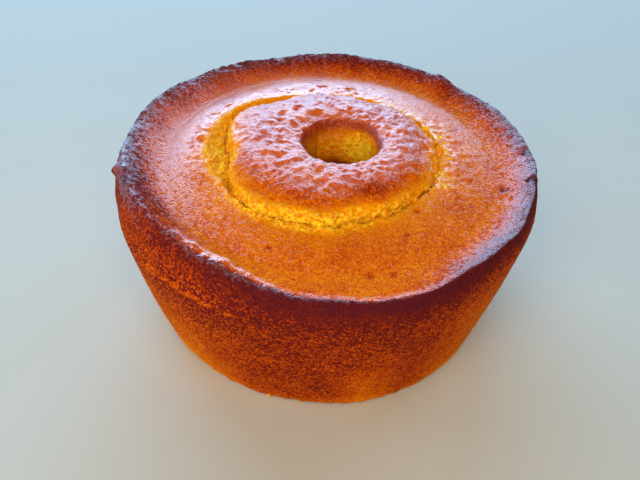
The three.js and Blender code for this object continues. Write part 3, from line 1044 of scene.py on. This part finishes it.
class RINGCAKE_OT_scatter_crumbs(bpy.types.Operator):
    """Scatters loose crumbs in the split and round the foot of the wall"""

    bl_idname = "ring_cake.scatter_crumbs"
    bl_label = "Scatter crumbs"

    def execute(self, context):
        sizes = context.scene.ring_cake_sizes
        cake = bpy.data.objects["ring_cake"]
        skin = points_of(cake)
        bare = np.empty(len(skin), np.float32)
        cake.data.attributes["bare"].data.foreach_get("value", bare)
        radius = np.hypot(skin[:, 0], skin[:, 1])
        split = np.flatnonzero((bare > CRUMB_ON_BARE) & (radius > CRUMB_FROM * sizes.split_radius))
        foot = np.flatnonzero((skin[:, 2] < MM) & (radius > sizes.base_radius - MM))

        draw = random.Random(CRUMB_DRAW)
        bpy.ops.object.select_all(action="DESELECT")
        bpy.ops.mesh.primitive_ico_sphere_add(subdivisions=2, radius=1.0)
        pattern = context.object
        corners = points_of(pattern)
        faces = np.array([list(face.vertices) for face in pattern.data.polygons])
        bpy.ops.object.delete()

        points, triangles = [], []
        for _ in range(sizes.crumb_count):
            home = draw.choices((split, foot), CRUMB_SHARES)[0]
            at = skin[home[draw.randrange(len(home))]]
            size = sizes.crumb_size * draw.uniform(*CRUMB_SIZES)
            squash = np.array([draw.uniform(*CRUMB_FLATNESS) for _ in range(3)])
            shift = Vector((draw.uniform(0, CRUMB_LUMP_SHIFT), 0, 0))
            lumps = np.array([noise.noise(Vector(c) * CRUMB_LUMP_SCALE + shift) for c in corners])
            body = corners * (1 + CRUMB_LUMP_DEPTH * lumps)[:, None] * squash * size
            centre = np.array(at)
            if home is foot:
                centre *= 1 + size * draw.uniform(*CRUMB_AWAY) / np.hypot(at[0], at[1])
                centre[2] = -body[:, 2].min()
            else:
                centre[2] += CRUMB_RAISED * size
            triangles.append(faces + len(points) * len(corners))
            points.append(body + centre)
        mesh = bpy.data.meshes.new("loose_crumbs")
        mesh.from_pydata(np.concatenate(points).tolist(), [], np.concatenate(triangles).tolist())
        crumbs = bpy.data.objects.new("loose_crumbs", mesh)
        context.collection.objects.link(crumbs)
        bpy.ops.object.select_all(action="DESELECT")
        crumbs.select_set(True)
        context.view_layer.objects.active = crumbs
        bpy.ops.object.shade_smooth()
        crumbs.data.materials.append(loose_crumb(context.scene.ring_cake_colours))
        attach(crumbs, "root")
        return {"FINISHED"}


class RINGCAKE_OT_set_stage(bpy.types.Operator):
    """Sets the pale floor, the soft lights behind, beside and in front, and the camera"""

    bl_idname = "ring_cake.set_stage"
    bl_label = "Set the stage"

    def execute(self, context):
        scene = context.scene
        bpy.ops.object.select_all(action="DESELECT")
        bpy.ops.mesh.primitive_plane_add(size=FLOOR_BREADTH)
        floor = context.object
        floor.name = "floor"
        floor.data.materials.append(pale_floor(scene.ring_cake_colours))

        world = bpy.data.worlds.new("soft_light")
        world.use_nodes = True
        air = world.node_tree.nodes["Background"]
        air.inputs["Color"].default_value = linear(AIR_COLOUR)
        air.inputs["Strength"].default_value = AIR_STRENGTH
        scene.world = world

        for name, place, (width, height), power, code in LIGHTS:
            aim = (Vector(LIGHTS_AIM) - Vector(place)).to_track_quat("-Z", "Y").to_euler()
            bpy.ops.object.light_add(type="AREA", location=place, rotation=aim)
            light = context.object
            light.name = name
            light.data.shape = "RECTANGLE"
            light.data.size = width
            light.data.size_y = height
            light.data.energy = power
            light.data.color = linear(code)[:3]
            light.visible_camera = False

        turn = Matrix.Rotation(math.radians(90 - CAMERA_DOWN), 4, "X") @ Matrix.Rotation(
            math.radians(CAMERA_ROLL), 4, "Z")
        bpy.ops.object.camera_add(location=[c * MM for c in CAMERA_PLACE], rotation=turn.to_euler())
        camera = context.object
        camera.data.sensor_width = CAMERA_SENSOR
        camera.data.lens = CAMERA_LENS
        camera.data.clip_start = CAMERA_NEAR
        scene.camera = camera
        scene.view_settings.view_transform = "Standard"
        return {"FINISHED"}


class RINGCAKE_PT_sidebar(bpy.types.Panel):
    """Lists the steps of the cake in the 3D view's sidebar"""

    bl_idname = "RINGCAKE_PT_sidebar"
    bl_label = "Ring cake"
    bl_space_type = "VIEW_3D"
    bl_region_type = "UI"
    bl_category = "Ring cake"

    def draw(self, context):
        for step in STEPS:
            self.layout.operator(step.bl_idname)
        for group in (context.scene.ring_cake_sizes, context.scene.ring_cake_colours):
            for name in group.__annotations__:
                self.layout.prop(group, name)


STEPS = (RINGCAKE_OT_shape_cake, RINGCAKE_OT_scatter_crumbs, RINGCAKE_OT_set_stage)
CLASSES = (RingCakeSizes, RingCakeColours, *STEPS, RINGCAKE_PT_sidebar)


def register():
    """Registers the classes and hangs the settings on the scene."""
    for cls in CLASSES:
        bpy.utils.register_class(cls)
    bpy.types.Scene.ring_cake_sizes = PointerProperty(type=RingCakeSizes)
    bpy.types.Scene.ring_cake_colours = PointerProperty(type=RingCakeColours)


def unregister():
    """Takes the settings off the scene and unregisters the classes."""
    del bpy.types.Scene.ring_cake_colours
    del bpy.types.Scene.ring_cake_sizes
    for cls in reversed(CLASSES):
        bpy.utils.unregister_class(cls)


def main():
    """Builds the cake step by step."""
    register()
    bpy.ops.ring_cake.shape_cake()
    bpy.ops.ring_cake.scatter_crumbs()
    bpy.ops.ring_cake.set_stage()


if __name__ == "__main__":
    main()
